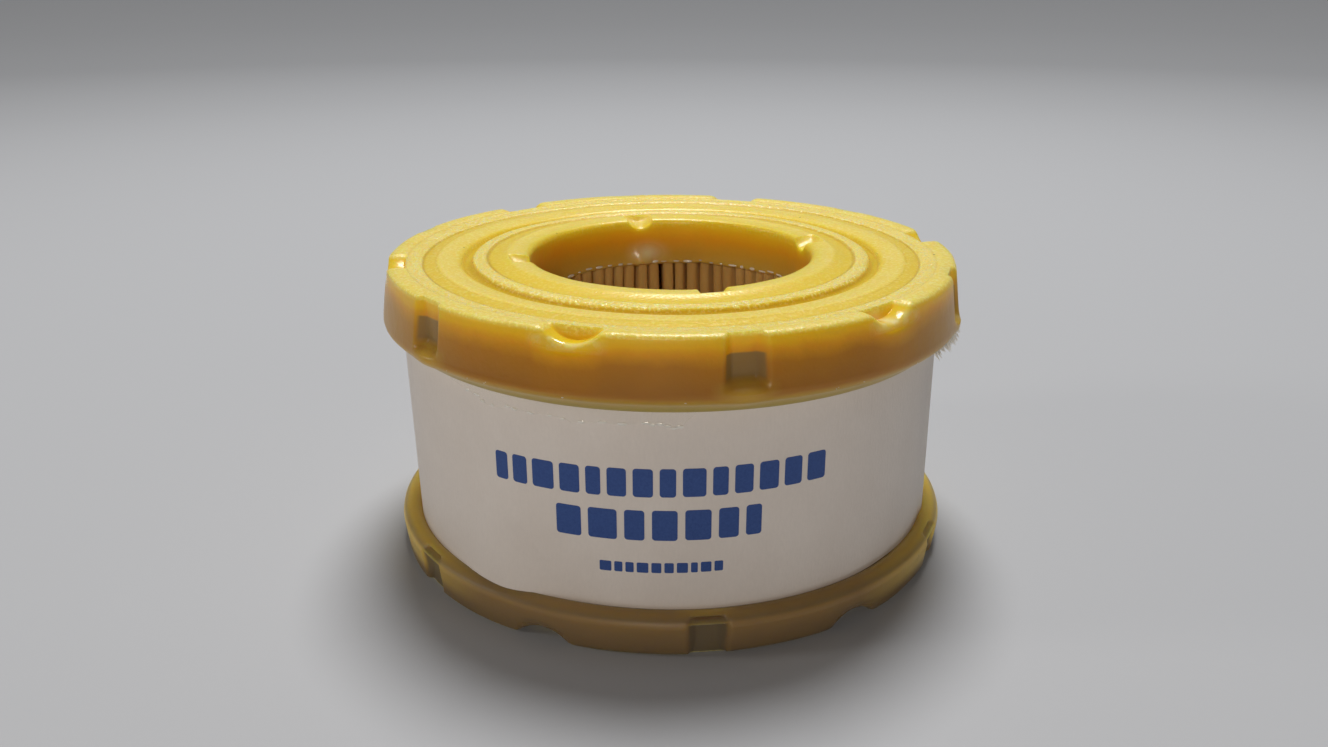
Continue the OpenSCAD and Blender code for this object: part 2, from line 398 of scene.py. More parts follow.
class CastPlastic(Shader):
    """Soft, slightly translucent yellow casting compound with a pale haze and a painted sheen on its sealing
    faces.
    Its colour also carries painted light and shade: lighter at the sides and near the rim notches, deeper
    with depth as painted shade in part, darker in the creases and on the lower cap, with painted glints and
    highlights. It is paler where it lies thin over the paper band: in the slots and where it creeps along the
    band; in the slots the band shows in a colour that is partly painted shade."""

    def __init__(self, look):
        super().__init__(look["name"])
        self.look = look
        self.axis_distance = self.radius()
        self.depth = self.depth_from_nearer_face()
        self.cloud = self.noise(160.0, 4.0)
        self.fine = self.noise(1900.0, 2.0)
        self.uneven = self.math("ADD", self.depth, self.spread(self.cloud, 0.3, 0.7, -0.0004, 0.0004))
        self.outside = self.fade(self.axis_distance, 46.2, 46.7)
        self.inside = self.fade(self.axis_distance, 46.7, 46.2)
        self.on_face = self.sealing_face()
        # painted sheen: the pale haze is partly a painted reflection, laid on unevenly
        patchy = self.spread(self.cloud, 0.3, 0.6, 0.75, 1.0)
        patchy = self.math("MULTIPLY", self.zones(BLOOM_AND_SHEEN), patchy, clamp=True)
        self.bloom_and_sheen = self.product(patchy, self.on_face)
        self.grain = self.product(self.zones(GRAIN), self.on_face)
        # pale grains that are painted glints on the rough ribs
        self.frost_glints = self.product(self.grain, self.spread(self.fine, 0.54, 0.60))
        # painted light: the compound near each rim notch is made lighter, as if lit through the notch
        self.notch_glow_light = self.product(self.sixfold(look["notch_at"], 6.5), self.outside)
        self.lip_highlight = self.notch_lip_highlight()
        self.highlight_patches = [self.highlight_patch(middle, reach) for middle, reach, _ in HIGHLIGHT_PATCHES]
        self.set(
            base_color=self.colour(), roughness=self.roughness(), normal=self.relief(), ior=1.45,
            subsurface_weight=0.66, subsurface_scale=0.0065, subsurface_radius=(1.0, 0.65, 0.12),
            sheen_weight=0.05, sheen_roughness=0.40, sheen_tint=rgb(1.0, 0.86, 0.62),
        )

    def depth_from_nearer_face(self):
        halfway = HEIGHT * MM / 2
        middle = self.math("ABSOLUTE", self.math("SUBTRACT", self.part_of(self.place, "Z"), halfway))
        return self.math("SUBTRACT", halfway, middle)

    def zones(self, rows):
        """A level that changes with the radius. Each row is a radius and a level."""
        share = self.fade(self.axis_distance, ZONES_FROM, ZONES_TO)
        return self.ramp(share, [
            ((r - ZONES_FROM) / (ZONES_TO - ZONES_FROM), rgb(level, level, level)) for r, level in rows
        ])

    def by_depth(self, depth, rows):
        """A colour that changes with depth. Each row is a depth and a colour."""
        return self.ramp(self.fade(depth, 0.0, DEEPEST), [(d / DEEPEST, colour) for d, colour in rows])

    def sealing_face(self):
        """The ribbed face, and just the top of the rim's edge."""
        rim_end = 0.3 + 0.6 * self.look["rim_sheen"]
        on_rim = self.math("MAXIMUM", self.fade(self.depth, rim_end, rim_end / 2), self.inside)
        return self.math("MINIMUM", self.fade(self.depth, 2.2, 1.2), on_rim)

    def notch_lip_highlight(self):
        """The lower edge of each rim notch, in spots, where a pale painted highlight goes."""
        return self.product(
            self.sixfold(self.look["notch_at"], 7.5), self.fade(self.axis_distance, 48.6, 49.3),
            self.fade(self.depth, 0.8, 1.5), self.fade(self.depth, 3.4, 2.4),
            self.spread(self.noise(520.0, 3.0), 0.42, 0.56, 0.25, 1.0),
        )

    # a painted highlight: a pale spot that is also glossier
    def highlight_patch(self, middle, reach):
        squeezed = self.vector_math("MULTIPLY", self.place, HIGHLIGHT_SQUEEZE)["Vector"]
        patch = self.fade(self.vector_math("DISTANCE", squeezed, middle)["Value"], reach, 0.4)
        return self.product(patch, patch)

    def body_colour(self):
        """The compound under its pale haze and painted sheen. It deepens with depth, partly as painted light
        near the faces and painted shade further in, and differs on ribs, bore wall and sides, where painted
        light makes it lighter.
        """
        # painted light near the rim notches lifts the colour toward the face's
        lifted = self.math("SUBTRACT", self.uneven, self.product(self.notch_glow_light, 0.0011))
        # the depth colours are partly painted light and painted shade
        body = self.by_depth(lifted, self.look["depths"])
        on_ribs = self.product(
            self.inside, self.fade(self.depth, 2.6, 1.8), self.fade(self.axis_distance, 25.1, 26.2), 0.80,
        )
        body = self.mixed(on_ribs, body, LEMON)
        in_bore = self.product(self.fade(self.axis_distance, 26.2, 25.6), self.fade(self.depth, 0.6, 1.2))
        body = self.mixed(self.product(in_bore, 0.85), body, self.by_depth(self.uneven, BORE_DEPTH_GLOW_AND_SHADE))
        # painted light: both sides are made lighter and yellower
        sideways = self.math("ABSOLUTE", self.part_of(self.place, "X"))
        side_lit = self.product(self.fade(sideways, 30.0, 49.0), self.fade(self.depth, 1.5, 3.5))
        return self.mixed(self.product(side_lit, self.look["side_light_share"]), body, self.look["side_light_colour"])

    def grainy(self, skin, body):
        """Pale grains as painted glints and dark grains as painted shade, where the mould was rough."""
        skin = self.mixed(self.product(self.frost_glints, 0.85), skin, FROST_GLINT)
        coarse = self.spread(self.grain, 0.0, 1.0, 0.18, 0.75)
        shade = self.product(coarse, self.spread(self.fine, 0.46, 0.37), 0.50)
        return self.mixed(shade, skin, self.mixed(0.35, body, SHADE_BROWN))

    def window(self):
        """Where the back of a slot shows the band: inside the drafted wall, between two depths. The band's
        colour there is partly painted shade of the recess.
        """
        wall = self.math("ADD", self.product(self.depth, WALL_DRAFT), FACE_R * MM)
        inset = self.math("SUBTRACT", wall, self.axis_distance)
        top, end = self.look["window_span"]
        return self.product(
            self.fade(inset, 0.25, 0.65), self.fade(self.axis_distance, 48.1, 48.5),
            self.fade(self.depth, top - 0.15, top + 0.15), self.fade(self.depth, end + 0.9, end),
        )

    def thin_edge(self):
        """Where the compound thins out over the band, and the lump under each slot."""
        start = self.look["thin_from"]
        edge = self.product(self.fade(self.depth, start, start + 1.1), self.outside)
        lump = self.product(
            self.sixfold(self.look["slot_at"], 6.0), self.fade(self.depth, 6.7, 7.6), self.outside, 0.8,
        )
        return self.math("MAXIMUM", edge, lump)

    def specks(self):
        """A few small specks of dirt."""
        cells = self.node("ShaderNodeTexVoronoi", {"Vector": self.place, "Scale": 190.0}, feature="F1")
        chosen = self.math("GREATER_THAN", self.part_of(cells.outputs["Color"], "X"), 0.72)
        return self.product(self.spread(cells.outputs["Distance"], 0.030, 0.055, 0.9, 0.0), chosen)

    def colour(self):
        body = self.body_colour()
        # the pale haze and painted sheen on the sealing face
        skin = self.mixed(self.bloom_and_sheen, body, PALE_BLOOM_AND_SHEEN)
        # painted shade in the creases between the ribs
        skin = self.mixed(self.product(self.zones(CREASE_SHADE), self.on_face, 0.80), skin, CREASE_SHADE_BROWN)
        skin = self.grainy(skin, body)
        # the band in the slots, darkened as painted shade of the recess
        skin = self.mixed(self.product(self.window(), 0.85), skin, self.look["window_shade_colour"])
        # painted highlight on the lower edges of the rim notches
        lip_highlight_share = self.product(self.lip_highlight, 0.65 * self.look["rim_sheen"])
        skin = self.mixed(lip_highlight_share, skin, self.mixed(0.7, body, LIP_HIGHLIGHT_CREAM))
        # painted highlights: pale spots in the bore and in a rim notch
        for patch, (_, _, paleness) in zip(self.highlight_patches, HIGHLIGHT_PATCHES):
            skin = self.mixed(self.product(patch, paleness), skin, HIGHLIGHT_CREAM)
        skin = self.mixed(self.product(self.thin_edge(), 0.85), skin, THIN_AMBER)
        return self.mixed(self.specks(), skin, DIRT_BLACK)

    def roughness(self):
        """Satin, with glossier grains, notch edges and spots under the painted highlights."""
        plain = self.spread(self.bloom_and_sheen, 0.0, 1.0, 0.46 - 0.14 * self.look["rim_sheen"], 0.40)
        rough = self.math("SUBTRACT", plain, self.product(self.frost_glints, 0.20))
        glossy = self.lip_highlight
        for patch in self.highlight_patches:
            glossy = self.math("MAXIMUM", glossy, patch)
        slick = self.product(self.notch_glow_light, self.fade(self.depth, 0.4, 0.9), self.fade(self.depth, 3.0, 2.3))
        return self.product(
            rough, self.spread(glossy, 0.0, 1.0, 1.0, 0.4), self.spread(slick, 0.0, 1.0, 1.0, 0.45),
        )

    def relief(self):
        """A soft unevenness all over, and fine pits where the mould was rough."""
        soft = self.bump(self.noise(420.0, 3.0), 0.16, 0.0006)
        pits = self.product(self.fine, self.spread(self.grain, 0.0, 1.0, 0.10, 0.9))
        return self.bump(pits, 0.65, 0.0004, soft)


def clear_flash(name, opacity, shine=0.5):
    """A thin film of the same compound, glossy and more or less clear. Its near-white colour also stands in
    as a painted glint on the small beads.
    """
    s = Shader(name)
    haze = s.spread(s.noise(900.0, 3.0), 0.3, 0.7)
    s.set(
        base_color=s.mixed(haze, rgb(0.98, 0.94, 0.84), rgb(1.0, 0.98, 0.92)),
        roughness=s.spread(haze, 0.0, 1.0, 0.07, 0.16), alpha=opacity, specular_ior_level=shine,
        normal=s.bump(s.noise(700.0, 2.0), 0.3, 0.0005),
    )
    return s.material


def white_paper(name):
    """Smooth uncoated paper with upright fibres."""
    s = Shader(name)
    fibres = s.node("ShaderNodeMapping", {"Vector": s.place, "Scale": (1.0, 1.0, 0.35)}).outputs["Vector"]
    grain = s.noise(2600.0, 4.0, 0.6, fibres)
    cloud = s.noise(90.0, 3.0)
    plain = s.mixed(s.spread(cloud, 0.3, 0.7), rgb(0.81, 0.735, 0.665), rgb(0.85, 0.780, 0.712))
    speckled = s.mixed(s.spread(grain, 0.35, 0.65, 0.0, 0.10), plain, rgb(0.62, 0.58, 0.54))
    s.set(
        base_color=speckled, roughness=s.spread(grain, 0.3, 0.7, 0.46, 0.62), specular_ior_level=0.35,
        normal=s.bump(grain, 0.25, 0.0003, s.bump(s.noise(130.0, 2.0), 0.3, 0.0010)),
    )
    return s.material


def filter_paper(name):
    """Brown resin-treated filter paper, a little darker on the folds at the bore."""
    s = Shader(name)
    grain = s.noise(3200.0, 4.0, 0.65)
    cloud = s.noise(220.0, 3.0)
    crest = s.fade(s.radius(), 27.4, 25.7)
    body = s.mixed(s.spread(cloud, 0.3, 0.7), rgb(0.84, 0.520, 0.190), rgb(0.90, 0.590, 0.240))
    s.set(
        base_color=s.mixed(s.product(crest, 0.85), body, rgb(0.66, 0.385, 0.120)),
        roughness=s.spread(grain, 0.3, 0.7, 0.62, 0.85), specular_ior_level=0.3,
        normal=s.bump(grain, 0.6, 0.0004), subsurface_weight=0.5, subsurface_scale=0.0016,
        subsurface_radius=(1.0, 0.6, 0.3),
    )
    return s.material


def blue_ink(name):
    """Matte blue printing ink."""
    s = Shader(name)
    grain = s.noise(2600.0, 4.0, 0.6)
    s.set(
        base_color=s.mixed(s.spread(grain, 0.35, 0.65), rgb(0.030, 0.075, 0.270), rgb(0.042, 0.098, 0.320)),
        roughness=s.spread(grain, 0.3, 0.7, 0.42, 0.6), specular_ior_level=0.35,
        normal=s.bump(grain, 0.2, 0.0002),
    )
    return s.material


def dried_glue(name):
    """Clear amber glue."""
    s = Shader(name)
    cloud = s.noise(500.0, 3.0)
    s.set(
        base_color=s.mixed(s.spread(cloud, 0.3, 0.7), rgb(0.50, 0.34, 0.13), rgb(0.66, 0.50, 0.24)),
        roughness=s.spread(cloud, 0.3, 0.7, 0.18, 0.35), normal=s.bump(cloud, 0.4, 0.0005),
        subsurface_weight=0.4, subsurface_scale=0.001,
    )
    return s.material


# ---------------------------------------------------------------- end caps

# Sealing face from the bore outwards, as radius and depth
FACE = [
    (25.0, 1.5), (25.04, 0.95), (25.20, 0.55), (25.6, 0.30), (26.4, 0.16), (27.5, 0.06), (28.5, 0.0),
    (29.1, 0.08), (29.8, 0.34), (31.0, 0.58), (32.3, 0.72), (32.65, 0.50), (33.1, 0.40), (34.2, 0.48),
    (34.7, 0.54), (35.0, 0.85), (35.4, 1.40), (35.9, 1.65), (36.4, 1.62), (36.8, 1.20), (37.3, 0.80),
    (38.2, 0.60), (39.5, 0.46), (40.6, 0.41), (41.2, 0.50), (42.4, 0.66), (43.5, 0.80), (43.8, 0.60),
    (44.6, 0.50), (45.8, 0.42), (46.3, 0.28), (46.9, 0.08), (47.6, 0.0), (48.8, 0.0), (49.3, 0.10),
    (49.58, 0.36),
]
# From the outer wall to the band, as radius and depth
UPPER_TAIL = [
    (FACE_R + WALL_DRAFT * (UPPER_FILL - 1.3), UPPER_FILL - 1.3), (50.82, UPPER_FILL - 0.75),
    (50.70, UPPER_FILL - 0.25), (50.30, UPPER_FILL + 0.20), (49.6, UPPER_FILL + 0.62),
    (48.8, UPPER_FILL + 1.15), (48.1, UPPER_FILL + 1.75), (47.55, UPPER_FILL + 2.35),
    (47.05, UPPER_FILL + 2.6),
]
LOWER_TAIL = [
    (FACE_R + WALL_DRAFT * (LOWER_FILL - 2.0), LOWER_FILL - 2.0), (50.16, LOWER_FILL - 1.35),
    (49.80, LOWER_FILL - 0.84), (49.30, LOWER_FILL - 0.44), (48.7, LOWER_FILL - 0.17), (48.0, LOWER_FILL),
    (47.4, LOWER_FILL - 0.25), (47.0, LOWER_FILL - 0.60), (46.0, LOWER_FILL - 0.65),
]
# Radii at which the widths of the marks in the rim and in the bore are measured
RIM_MARK_R = 48.6
BORE_MARK_R = 26.3
NOTCH_R, NOTCH_DEPTH, NOTCH_INNER, NOTCH_SOFTNESS = 5.8, 2.1, 46.5, 0.55
SLOT_HALF_WIDTH, SLOT_BACK, SLOT_CORNER = 2.6, 48.7, 1.05
BORE_NOTCH_R, BORE_NOTCH_DEPTH, BORE_NOTCH_REACH = 2.9, 2.0, 28.6
# How far a drip below a bore notch stands out, at the back of the bore and elsewhere
BIG_DRIP_AT, BIG_DRIP, SMALL_DRIP = 194.0, 1.2, 0.5


def scoop(offset, radius, depth, softness=0.0):
    """Depth of a half-round scoop at an offset from its middle. Softness rounds its two edges."""
    inside = np.clip(radius**2 - offset**2, 0.0, None)
    below = depth - radius + np.sqrt(inside)
    return 0.5 * (below + np.sqrt(below**2 + softness**2))


def cap_stations(notches, slots, bore_notches):
    """Angles round a cap, closer together at its marks."""
    wanted = [np.arange(0.0, 360.0, 0.8)]
    for centre in notches:
        wanted.append(centre + np.arange(-7.35, 7.36, 0.35))
    for centre in slots:
        wanted.append(centre + np.arange(-1.8, 1.81, 0.60))
        for side in (-1, 1):
            wanted.append(centre + side * (3.06 + np.arange(-1.26, 1.27, 0.18)))
    for centre in bore_notches:
        wanted.append(centre + np.arange(-7.2, 7.21, 0.45))
    angles = np.sort(np.concatenate(wanted) % 360.0)
    kept = [angles[0]]
    for angle in angles[1:]:
        if angle - kept[-1] > 0.06:
            kept.append(angle)
    return np.array(kept)


def bore_edge_wave(angle):
    """How much deeper the compound reaches in the bore: a slow wave, and a scallop at each pleat."""
    slow = ripple(angle, [(2, 0.25, 30), (3, 0.22, 80), (8, 0.12, 10), (19, 0.06, 0)])
    return slow + 0.16 * np.abs(np.sin(np.radians(angle * PLEATS / 2)))


def upper_bore_edge(angle):
    """Height of the upper cap's lower edge in the bore."""
    return HEIGHT - UPPER_BORE_FILL - bore_edge_wave(angle)


class Cap:
    """One cast cap, as rings of points: one ring is the closed outline of the cap at one angle."""

    def __init__(self, name, up, fill, bore_fill, pour, tail, notches, slots, bore_notches, slot, seed):
        """fill and bore_fill are the heights of the outer wall and of the wall in the bore. pour is the level
        between them. slot is how deep the slots go and over what depth their ends slope out."""
        self.name, self.up, self.fill = name, up, fill
        self.notches, self.slots, self.bore_notches = notches, slots, bore_notches
        self.slot_depth, self.slot_ledge = slot
        self.random = np.random.default_rng(seed)
        self.lay_out(bore_fill, pour, tail)
        self.make_uneven()
        self.cut_rim_notches()
        self.cut_bore_notches()
        self.cut_slots()
        self.depth = np.maximum(self.depth, 0.0)
        self.finish_bore_edge()

    def lay_out(self, bore_fill, pour, tail):
        """The plain outline repeated round the axis, and which of its points are on face, wall and bore."""
        face = rounded_path(FACE, 0.36)
        wall_keys = [FACE[-1]] + [(FACE_R + WALL_DRAFT * d, d) for d in (0.9, 3.0, 5.0, tail[0][1])]
        wall = rounded_path(wall_keys, 0.55)[1:]
        outer_tail = rounded_path(tail, 0.5)[1:]
        inner = np.array([(tail[-1][0], pour), (40.0, pour), (33.0, pour)])
        halfway = 5.0 if self.up else 4.0
        bore_keys = [(25.75, pour), (25.2, bore_fill + 0.1), (BORE_R, bore_fill - 0.2), (BORE_R, halfway)]
        bore = rounded_path(bore_keys + [FACE[0]], 0.6)[:-1]
        outline = np.vstack([face, wall, outer_tail, inner, bore])
        tail_start = len(face) + len(wall)
        bore_start = tail_start + len(outer_tail) + len(inner)
        self.bore_low = outline[bore_start + 1, 1]
        self.angle = cap_stations(self.notches, self.slots, self.bore_notches)[:, None]
        self.base_radius = np.repeat(outline[None, :, 0], len(self.angle), axis=0)
        self.base_depth = np.repeat(outline[None, :, 1], len(self.angle), axis=0)
        self.radius = self.base_radius.copy()
        self.depth = self.base_depth.copy()
        index = np.arange(len(outline))[None, :]
        self.on_face = index < len(face)
        self.on_wall = (index >= len(face)) & (index < tail_start)
        self.on_bore = index >= bore_start
        self.past_face = (index >= len(face)) & ~self.on_bore

    def offset_from(self, centre, radius):
        """Distance along a circle from a mark's middle, and whether that middle is on the near side."""
        turn = turned(self.angle - centre)
        return radius * np.sin(np.radians(turn)), np.abs(turn) < 30

    def make_uneven(self):
        """The slow unevenness of the casting, and the grain of its rough ribs."""
        waves = 0.06 + ripple(self.angle, [(2, 0.05, 40), (3, 0.04, 100), (7, 0.02, 10)])
        waves = waves + 0.03 * np.sin(self.base_radius * 1.9 + np.radians(3 * self.angle))
        self.depth += self.on_face * waves
        self.radius += self.on_face * 0.10 * ripple(self.angle, [(4, 0.6, 20), (9, 0.5, 70), (17, 0.3, 5)])
        self.radius += self.on_wall * ripple(self.angle, [(2, 0.10, 0), (5, 0.05, 60), (13, 0.02, 0)])
        rough = smoothstep(32.5, 32.8, self.base_radius) * smoothstep(35.1, 34.8, self.base_radius)
        rough += smoothstep(43.5, 43.9, self.base_radius) * smoothstep(46.2, 45.9, self.base_radius)
        self.depth += self.on_face * rough * self.random.normal(0.0, 0.010, self.depth.shape)
        self.depth += self.on_face * self.random.normal(0.0, 0.003, self.depth.shape)

    def cut_rim_notches(self):
        """Half-round notches in the rim."""
        share = self.on_face * smoothstep(NOTCH_INNER - 0.15, NOTCH_INNER + 0.25, self.base_radius)
        share = share + self.on_wall * smoothstep(4.2, 0.5, self.base_depth)
        for centre in self.notches:
            offset, near = self.offset_from(centre, RIM_MARK_R)
            self.depth += scoop(offset, NOTCH_R, NOTCH_DEPTH, NOTCH_SOFTNESS) * near * share

    def cut_bore_notches(self):
        """Half-round notches round the bore, which fade out down its wall."""
        reach = BORE_NOTCH_REACH
        share = self.on_face * smoothstep(reach + 0.15, reach - 0.25, self.base_radius)
        across = np.clip((self.base_radius - BORE_R) / (reach - BORE_R), 0.0, 1.0)
        taper = self.on_bore * smoothstep(5.5, 2.0, self.base_depth)
        for centre in self.bore_notches:
            offset, near = self.offset_from(centre, BORE_MARK_R)
            cut = scoop(offset, BORE_NOTCH_R, BORE_NOTCH_DEPTH) * near
            floor = cut * (1.0 - 0.45 * across) + 0.25 * np.clip(self.base_depth, 0, 2.3) * (cut > 0)
            self.depth += share * (np.maximum(self.depth, floor) - self.depth)
            self.depth += taper * 0.25 * cut

    def cut_slots(self):
        """Slots down through the rim, each with a lump past its end, where compound crept out."""
        in_slot = self.on_face & (self.base_radius >= SLOT_BACK)
        in_slot = in_slot | (self.on_wall & (self.base_depth <= self.slot_depth))
        along = np.where(self.on_face, self.base_radius - SLOT_BACK, FACE_R - SLOT_BACK + self.base_depth)
        down = np.clip(along / (FACE_R - SLOT_BACK + self.slot_depth), 0.0, 1.0) * self.slot_depth
        past_slot = self.past_face & (self.base_depth > self.slot_depth) & (self.base_radius > SLOT_BACK)
        ledge = 1 - smoothstep(self.slot_depth, self.slot_depth + self.slot_ledge, self.base_depth)
        corner = SLOT_CORNER * (0.5 + 0.5 * smoothstep(0.0, 1.5, self.base_depth))
        lump = smoothstep(self.slot_depth + 0.5, self.slot_depth + 2.0, self.base_depth)
        lump = lump * smoothstep(self.fill + 2.4, self.fill - 0.3, self.base_depth)
        lump = lump * self.past_face * (self.base_radius > 47.3)
        for centre in self.slots:
            offset, near = self.offset_from(centre, RIM_MARK_R)
            share = smoothstep(SLOT_HALF_WIDTH + corner, SLOT_HALF_WIDTH - corner, np.abs(offset)) * near
            self.radius += share * in_slot * (SLOT_BACK - self.radius)
            self.depth += share * in_slot * (down - self.depth)
            self.radius += share * past_slot * ledge * (SLOT_BACK - self.radius)
            self.radius += 0.45 * hump(self.angle, centre, 3.6) * lump

    def finish_bore_edge(self):
        """The wavy lower edge in the bore, and the drips under the upper cap's bore notches."""
        low = smoothstep(5.0, self.bore_low, self.base_depth) * self.on_bore
        self.depth += low * bore_edge_wave(self.angle)
        if not self.up:
            return
        slope = smoothstep(4.6, 8.4, self.base_depth) * smoothstep(9.2, 8.6, self.base_depth) * self.on_bore
        for centre in self.bore_notches:
            drip = BIG_DRIP if centre == BIG_DRIP_AT else SMALL_DRIP
            self.radius -= drip * hump(self.angle, centre, 4.5) * slope

    def build(self, look, node):
        """Makes the cap's piece, which stands for a CAD node."""
        height = HEIGHT - self.depth if self.up else self.depth
        rings = spots(self.radius, self.angle, height)
        piece = new_piece(self.name, rings, quad_faces(*rings.shape[:2], True, True))
        dress(piece, CastPlastic(look).material, 38.0, (node,))


def end_caps():
    upper = Cap(
        "upper_cap_casting", True, UPPER_FILL, UPPER_BORE_FILL, UPPER_FILL - 0.5, UPPER_TAIL,
        RIM_NOTCHES, RIM_SLOTS, BORE_NOTCHES, (6.8, 1.9), 11,
    )
    upper.build(UPPER_LOOK, "upper_end_cap")
    lower = Cap(
        "lower_cap_casting", False, LOWER_FILL, LOWER_BORE_FILL, LOWER_FILL - 0.9, LOWER_TAIL,
        LOWER_RIM_NOTCHES, LOWER_RIM_SLOTS, LOWER_BORE_NOTCHES, (6.2, 0.9), 12,
    )
    lower.build(LOWER_LOOK, "lower_end_cap")


# ---------------------------------------------------------------- paper

def band_radius(angle, height):
    """Outer radius of the band. It isn't quite round, and it flares out at the front left of its foot."""
    left = np.clip(-np.sin(np.radians(angle)), 0.0, 1.0)
    right = np.clip(np.sin(np.radians(angle)), 0.0, 1.0)
    tall = (height - 25.0) / 18.0
    radius = BAND_R + left * (0.15 + 0.40 * tall) - 0.30 * right * (1.0 + 0.2 * tall)
    radius = radius + ripple(angle, [(5, 0.06, 0), (11, 0.03, 50)]) * (1.0 - 0.5 * tall)
    flare = np.where(turned(angle + 33.0) < 0, hump(angle, -33.0, 15.0), hump(angle, -33.0, 8.5))
    return radius + 2.0 * flare * np.exp(-np.clip(height - 6.3, 0.0, None) / 4.5)


def band_foot(angle):
    """Height of the band's lower edge. It sits lower in front and is lifted at the front right."""
    return (
        6.45 + 0.55 * hump(angle, -38.0, 16.0) + 0.30 * hump(angle, 42.0, 16.0)
        - 0.15 * hump(angle, 8.0, 9.0) + 0.22 * hump(angle, -8.0, 9.0) + 0.25 * hump(angle, 21.0, 3.0)
        + ripple(angle, [(7, 0.05, 0), (23, 0.03, 40)])
    )


def band_sheet():
    """The band runs once round, steps outwards and laps over its own start."""
    lap_end = LAP_PLACE + 360.0 + LAP_WIDTH
    lap_start = lap_end - LAP_WIDTH
    rows = np.linspace(0.0, 1.0, 28)
    sections = []
    for angle in np.linspace(LAP_PLACE, lap_end, round(lap_end - LAP_PLACE) + 1):
        lift = np.interp(angle, [lap_start - 3.0, lap_start], [0.0, LAP_GLUE_T + BAND_T])
        foot = band_foot(angle)
        height = foot + rows**1.3 * (PAPER_HIGH - foot)
        outer = band_radius(angle, height) + lift
        sections.append(sheet_outline(angle, height, outer, outer - BAND_T))
    piece = strip_grid("paper_band_sheet", np.array(sections))
    dress(piece, white_paper("band_paper"), 50.0, ("paper_band",))


def overlap_glue():
    """The glue film under the overlap."""
    sections = []
    for angle in np.linspace(LAP_PLACE, LAP_PLACE + LAP_WIDTH, 13):
        height = np.linspace(band_foot(angle) + 0.5, PAPER_HIGH - 0.5, 20)
        inner = band_radius(angle, height)
        sections.append(sheet_outline(angle, height, inner + LAP_GLUE_T, inner))
    film = strip_grid("band_overlap_glue", np.array(sections))
    dress(film, dried_glue("overlap_glue"), 50.0, ("band_glue_strip",))


def flat_spot(radius, angle):
    """A point of the folded strip's plan. Its angle starts at +X, where the seam is."""
    a = math.radians(angle)
    return np.array([radius * math.cos(a), radius * math.sin(a)])


def folded_strip():
    """Centreline of the folded paper, from one free end round to the other, as points in a plane.
    Folds wander a little, but not beside the seam, where the CAD's glue film lies between the two ends."""
    random = np.random.default_rng(5)
    pitch = 360.0 / PLEATS
    inner_r = BORE_R + 0.7 + PAPER_T / 2
    outer_r = BAND_R - BAND_T - 0.1 - PAPER_T / 2
    inner_half = math.degrees(0.72 / inner_r)
    outer_half = math.degrees(0.7 / outer_r)
    root = flat_spot(inner_r, inner_half)
    tip = flat_spot(outer_r, pitch / 2 - outer_half)
    along = (tip - root) / np.linalg.norm(tip - root)
    step = np.array([-along[1], along[0]]) * (PAPER_T + SEAM_T)
    free_end = along * 1.2
    points = [root + step + free_end, tip + step, flat_spot(outer_r, pitch / 2 + outer_half)]
    for k in range(1, PLEATS):
        calm = min(1.0, (min(k, PLEATS - k) - 1) / 2)
        middle = k * pitch + calm * random.uniform(-0.6, 0.6)
        near_r = inner_r + calm * random.uniform(-0.15, 0.30)
        width = inner_half * (1 + calm * random.uniform(-0.10, 0.28))
        far_middle = (k + 0.5) * pitch + calm * random.uniform(-0.5, 0.5)
        far_r = outer_r - 0.45 * calm
        points += [
            flat_spot(near_r, middle - width), flat_spot(near_r, middle + width),
            flat_spot(far_r, far_middle - outer_half), flat_spot(far_r, far_middle + outer_half),
        ]
    points += [flat_spot(inner_r, -inner_half), root, tip - free_end]
    return np.array(points)


def corner_cut(points, reaches):
    """Rounds an open line's corners, one cut for each reach, and keeps its ends."""
    for reach in reaches:
        span = np.linalg.norm(points[1:] - points[:-1], axis=1)
        share = np.minimum(0.25, reach / span)[:, None]
        near = points[:-1] * (1 - share) + points[1:] * share
        far = points[:-1] * share + points[1:] * (1 - share)
        points = np.vstack([points[:1], np.stack([near, far], axis=1).reshape(-1, 2)[1:-1], points[-1:]])
    return points


def pleated_paper():
    """The strip's outline at 15 levels, which sway a little, joined by walls and closed above and below."""
    line = corner_cut(folded_strip(), (0.50, 0.20))
    ahead = np.gradient(line, axis=0)
    normal = np.stack([-ahead[:, 1], ahead[:, 0]], axis=1)
    normal /= np.linalg.norm(normal, axis=1)[:, None]
    around = np.vstack([line + normal * PAPER_T / 2, (line - normal * PAPER_T / 2)[::-1]])
    plan_angle = np.degrees(np.arctan2(around[:, 1], around[:, 0]))
    radius = np.hypot(around[:, 0], around[:, 1])
    calm = smoothstep(3.0, 14.0, np.abs(turned(plan_angle)))
    levels = []
    for height in np.linspace(PAPER_LOW, PAPER_HIGH, 15):
        sway = calm * (
            0.35 * np.sin(height / 7.0 + np.radians(plan_angle * 5))
            + 0.20 * np.sin(height / 3.1 + np.radians(plan_angle * 11))
        )
        a = np.radians(plan_angle + sway)
        levels.append(np.stack([radius * np.cos(a), radius * np.sin(a), np.full_like(a, height)], axis=1))
    rows, columns = len(levels), len(around)
    faces = quad_faces(rows, columns, False, True)
    for first in (0, (rows - 1) * columns):
        for i in range(columns // 2 - 1):
            j = columns - 1 - i
            faces.append((first + i, first + i + 1, first + j - 1, first + j))
    piece = new_piece("pleated_filter_paper", levels, faces)
    dress(piece, filter_paper("filter_paper"), 55.0, ("pleated_paper",))


# ---------------------------------------------------------------- print and flash

